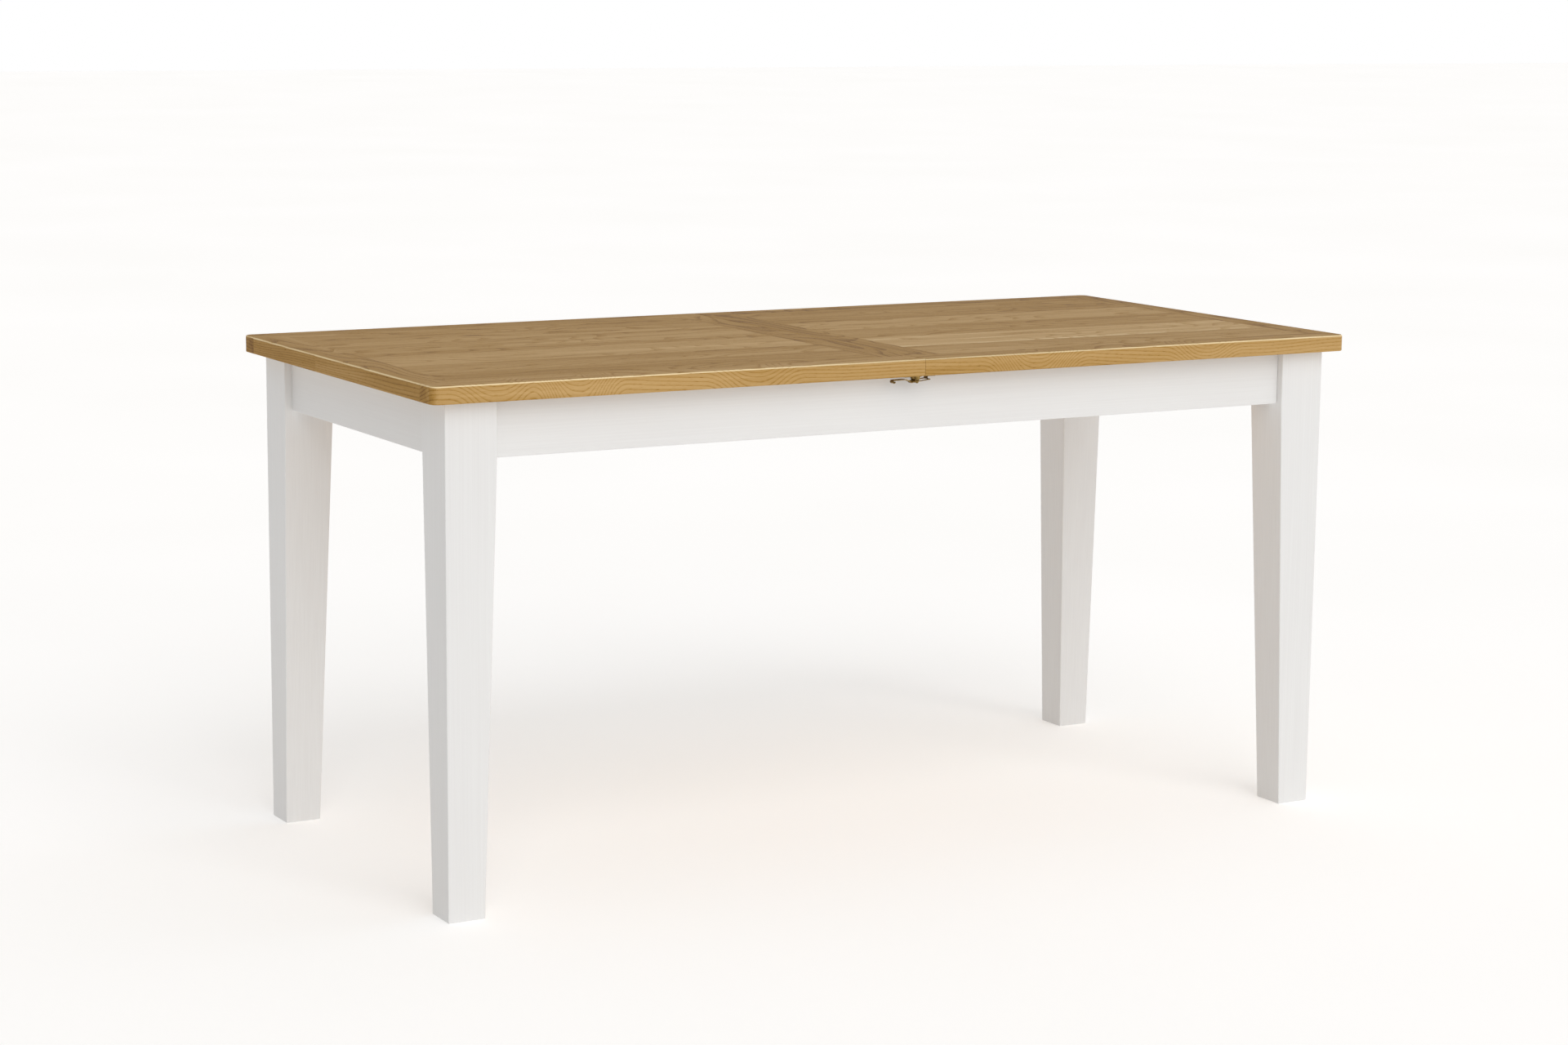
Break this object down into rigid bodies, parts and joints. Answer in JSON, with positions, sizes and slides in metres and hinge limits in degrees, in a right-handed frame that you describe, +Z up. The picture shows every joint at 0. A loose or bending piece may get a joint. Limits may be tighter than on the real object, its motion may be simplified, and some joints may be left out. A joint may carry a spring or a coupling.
{
  "type": "extending dining table",
  "caption": "Rectangular oak-topped dining table whose top halves slide apart on a fixed painted frame with tapered legs, over a stored folding leaf.",
  "frame": {"origin": "on the floor under the centre of the closed table", "axes": "+X along the table's length to the right half, +Y across its width to the back, +Z up"},
  "size_m": [1.6, 0.74, 0.775],
  "materials": {
    "oak_top": "satin oiled oak",
    "painted_wood": "white eggshell paint",
    "beech": "planed, unfinished beech",
    "zinc_steel": "zinc plated",
    "antique_brass": "dark antiqued",
    "black_rubber": "matt moulded"
  },
  "bodies": {
    "frame": {"front_left_leg": "painted_wood", "front_right_leg": "painted_wood", "back_left_leg": "painted_wood", "back_right_leg": "painted_wood", "front_apron": "painted_wood", "back_apron": "painted_wood", "left_apron": "painted_wood", "right_apron": "painted_wood", "front_left_corner_block": "beech", "front_right_corner_block": "beech", "back_left_corner_block": "beech", "back_right_corner_block": "beech", "front_left_hanger_bolt": "zinc_steel", "front_right_hanger_bolt": "zinc_steel", "back_left_hanger_bolt": "zinc_steel", "back_right_hanger_bolt": "zinc_steel", "front_left_hanger_nut": "zinc_steel", "front_right_hanger_nut": "zinc_steel", "back_left_hanger_nut": "zinc_steel", "back_right_hanger_nut": "zinc_steel", "front_guide_rail": "beech", "back_guide_rail": "beech", "front_left_stop_buffer": "black_rubber", "front_right_stop_buffer": "black_rubber", "back_left_stop_buffer": "black_rubber", "back_right_stop_buffer": "black_rubber", "left_cross_bearer": "beech", "right_cross_bearer": "beech", "leaf_upper_wing": "oak_top", "leaf_lower_wing": "oak_top", "leaf_left_hinge": "antique_brass", "leaf_right_hinge": "antique_brass", "leaf_left_pivot_bracket": "zinc_steel", "leaf_right_pivot_bracket": "zinc_steel"},
    "left_half": {"left_front_rail": "oak_top", "left_back_rail": "oak_top", "left_centre_rail": "oak_top", "left_field": "oak_top", "left_end_rail_front": "oak_top", "left_end_rail_back": "oak_top", "front_dowel": "beech", "back_dowel": "beech", "front_left_runner": "beech", "back_left_runner": "beech", "front_catch_base": "antique_brass", "back_catch_base": "antique_brass"},
    "right_half": {"right_front_rail": "oak_top", "right_back_rail": "oak_top", "right_centre_rail": "oak_top", "right_field": "oak_top", "right_end_rail": "oak_top", "front_right_runner": "beech", "back_right_runner": "beech", "front_catch_keeper": "antique_brass", "back_catch_keeper": "antique_brass"},
    "front_lever": {"front_catch_lever": "antique_brass"},
    "front_loop": {"front_catch_loop": "antique_brass"},
    "back_lever": {"back_catch_lever": "antique_brass"},
    "back_loop": {"back_catch_loop": "antique_brass"}
  },
  "joints": [
    {"name": "left_slide", "type": "slide", "parent": "frame", "child": "left_half", "axis": [-1, 0, 0], "range_m": [0, 0.2]},
    {"name": "right_slide", "type": "slide", "parent": "frame", "child": "right_half", "axis": [1, 0, 0], "range_m": [0, 0.2]},
    {"name": "front_catch", "type": "hinge", "parent": "left_half", "child": "front_lever", "pos_m": [-0.01, -0.357, 0.7406], "axis": [0, -1, 0], "range_deg": [-6, 80]},
    {"name": "back_catch", "type": "hinge", "parent": "left_half", "child": "back_lever", "pos_m": [-0.01, 0.357, 0.7406], "axis": [0, -1, 0], "range_deg": [-6, 80]},
    {"name": "front_loop_swing", "type": "hinge", "parent": "front_lever", "child": "front_loop", "pos_m": [-0.018, -0.357, 0.7403], "axis": [0, -1, 0], "range_deg": [-136, 10.3]},
    {"name": "back_loop_swing", "type": "hinge", "parent": "back_lever", "child": "back_loop", "pos_m": [-0.018, 0.357, 0.7403], "axis": [0, -1, 0], "range_deg": [-136, 10.3]}
  ],
  "couplings": [
    {"joint": "front_loop_swing", "follows": "front_catch", "ratio": -1.7},
    {"joint": "back_loop_swing", "follows": "back_catch", "ratio": -1.7}
  ]
}
